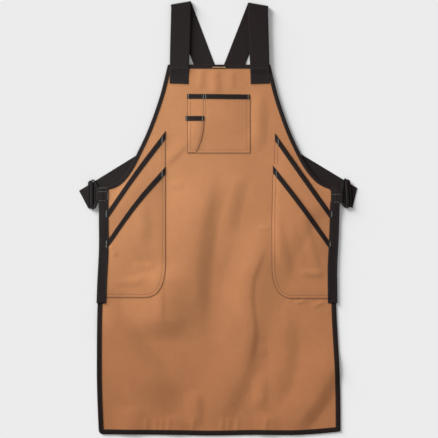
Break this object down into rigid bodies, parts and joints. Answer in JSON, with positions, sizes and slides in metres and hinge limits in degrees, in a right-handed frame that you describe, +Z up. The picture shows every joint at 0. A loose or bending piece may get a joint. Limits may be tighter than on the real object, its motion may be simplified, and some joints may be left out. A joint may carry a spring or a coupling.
{
  "type": "work apron",
  "caption": "Canvas bib work apron laid flat, with taped edges, a bib pocket with a pencil pocket, doubled slanted hand pockets, and webbing cross-back straps run through side buckles.",
  "frame": {"origin": "on the surface that the apron lies on, under the middle of its outline", "axes": "+Y from the hem towards the bib and the shoulder straps, +Z up off the surface, out of the apron's front"},
  "size_m": [0.7076, 1.105, 0.0193],
  "materials": {
    "canvas": "brown cotton duck, matt",
    "tape": "black binding tape, matt",
    "webbing": "black ribbed webbing, slight sheen",
    "buckle": "black moulded plastic, satin"
  },
  "bodies": {
    "root": {"body_panel": "canvas", "bib_binding": "tape", "armhole_binding_left": "tape", "armhole_binding_right": "tape", "side_binding_left": "tape", "side_binding_right": "tape", "hem_binding": "tape", "bib_pocket": "canvas", "bib_pocket_binding": "tape", "pencil_pocket": "canvas", "pencil_pocket_binding": "tape", "upper_hand_pocket_left": "canvas", "upper_hand_pocket_right": "canvas", "upper_pocket_binding_left": "tape", "upper_pocket_binding_right": "tape", "lower_hand_pocket_left": "canvas", "lower_hand_pocket_right": "canvas", "lower_pocket_binding_left": "tape", "lower_pocket_binding_right": "tape", "side_webbing_left": "webbing", "side_webbing_right": "webbing", "buckle_tab_left": "webbing", "buckle_tab_right": "webbing", "buckle_left": "buckle", "buckle_right": "buckle", "shoulder_strap_left": "webbing", "shoulder_strap_right": "webbing"}
  },
  "joints": []
}
